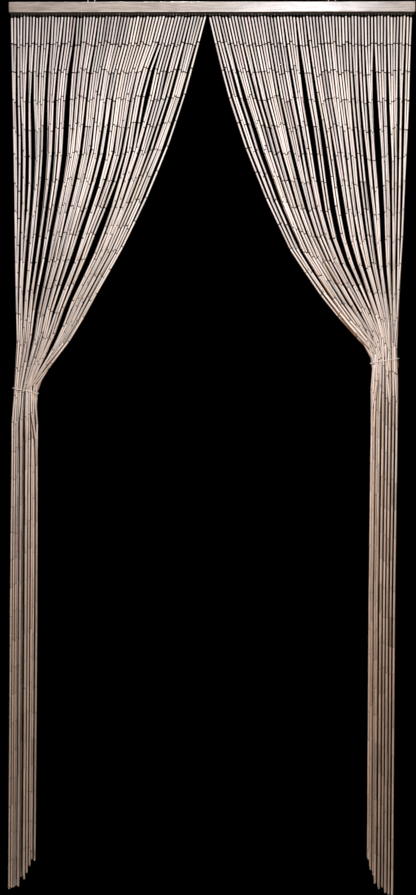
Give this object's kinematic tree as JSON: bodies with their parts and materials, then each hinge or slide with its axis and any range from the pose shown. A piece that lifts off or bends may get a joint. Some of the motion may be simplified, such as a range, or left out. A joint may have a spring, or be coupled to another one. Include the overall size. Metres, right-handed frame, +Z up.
{
  "type": "bead curtain with rail",
  "caption": "Door curtain of thin bamboo tubes strung under a wooden rail, parted in the middle and tied back at its sides.",
  "frame": {"origin": "middle of the rail's flat back face", "axes": "+X along the rail to the right as seen from the front, +Y from the front to the back, +Z up"},
  "size_m": [0.9, 0.0318, 1.9935],
  "materials": {
    "rail_wood": "pale varnished wood, satin",
    "bamboo": "natural bamboo tubes, low gloss",
    "wire": "bright drawn wire",
    "thread": "pale twisted thread, matt"
  },
  "bodies": {
    "root": {"rail": "rail_wood", "hanger_left": "wire", "hanger_right": "wire", "curtain_left": "bamboo", "curtain_right": "bamboo", "tie_left": "thread", "tie_right": "thread"}
  },
  "joints": []
}
